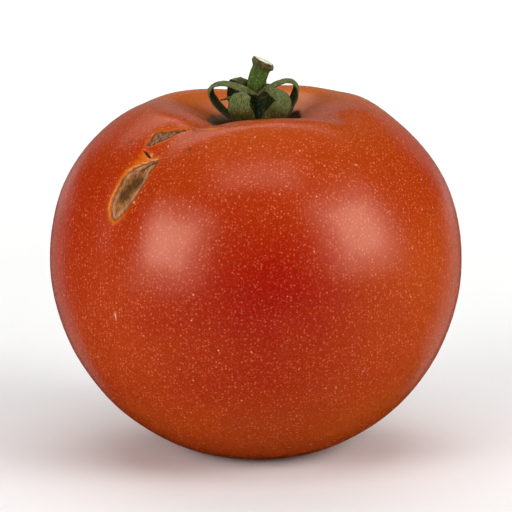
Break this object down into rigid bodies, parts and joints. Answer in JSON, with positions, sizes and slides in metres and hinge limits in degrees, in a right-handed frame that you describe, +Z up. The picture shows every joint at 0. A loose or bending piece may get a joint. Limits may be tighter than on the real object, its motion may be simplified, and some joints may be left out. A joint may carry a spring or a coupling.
{
  "type": "tomato",
  "caption": "Large round lobed slicing tomato with a short cut stem stub and a dry curled green calyx, resting on a small flat spot.",
  "frame": {"origin": "centre of the object's bounding box seen from above, at its lowest level, which is the flat spot the fruit rests on", "axes": "+Z up, from the resting spot to the stem; -Y towards the front, the side that shows the cork scars on its left shoulder; +X to the right of that front"},
  "size_m": [0.0883, 0.0876, 0.0856],
  "materials": {
    "skin": "ripe red to orange-red tomato skin with a soft waxy sheen, tiny pale golden dots and tan cork scars on the front left shoulder",
    "stem_green": "mid green, fine short fuzz, brown collar round a pale green cut end",
    "sepal_green": "grey-green drying leaf with fine lengthwise veins and short pale fuzz, olive towards the base"
  },
  "bodies": {
    "root": {"fruit": "skin", "stem": "stem_green", "sepal_left": "sepal_green", "sepal_front_left": "sepal_green", "sepal_front_right": "sepal_green", "sepal_right": "sepal_green", "sepal_back_right": "sepal_green", "sepal_back_left": "sepal_green"}
  },
  "joints": []
}
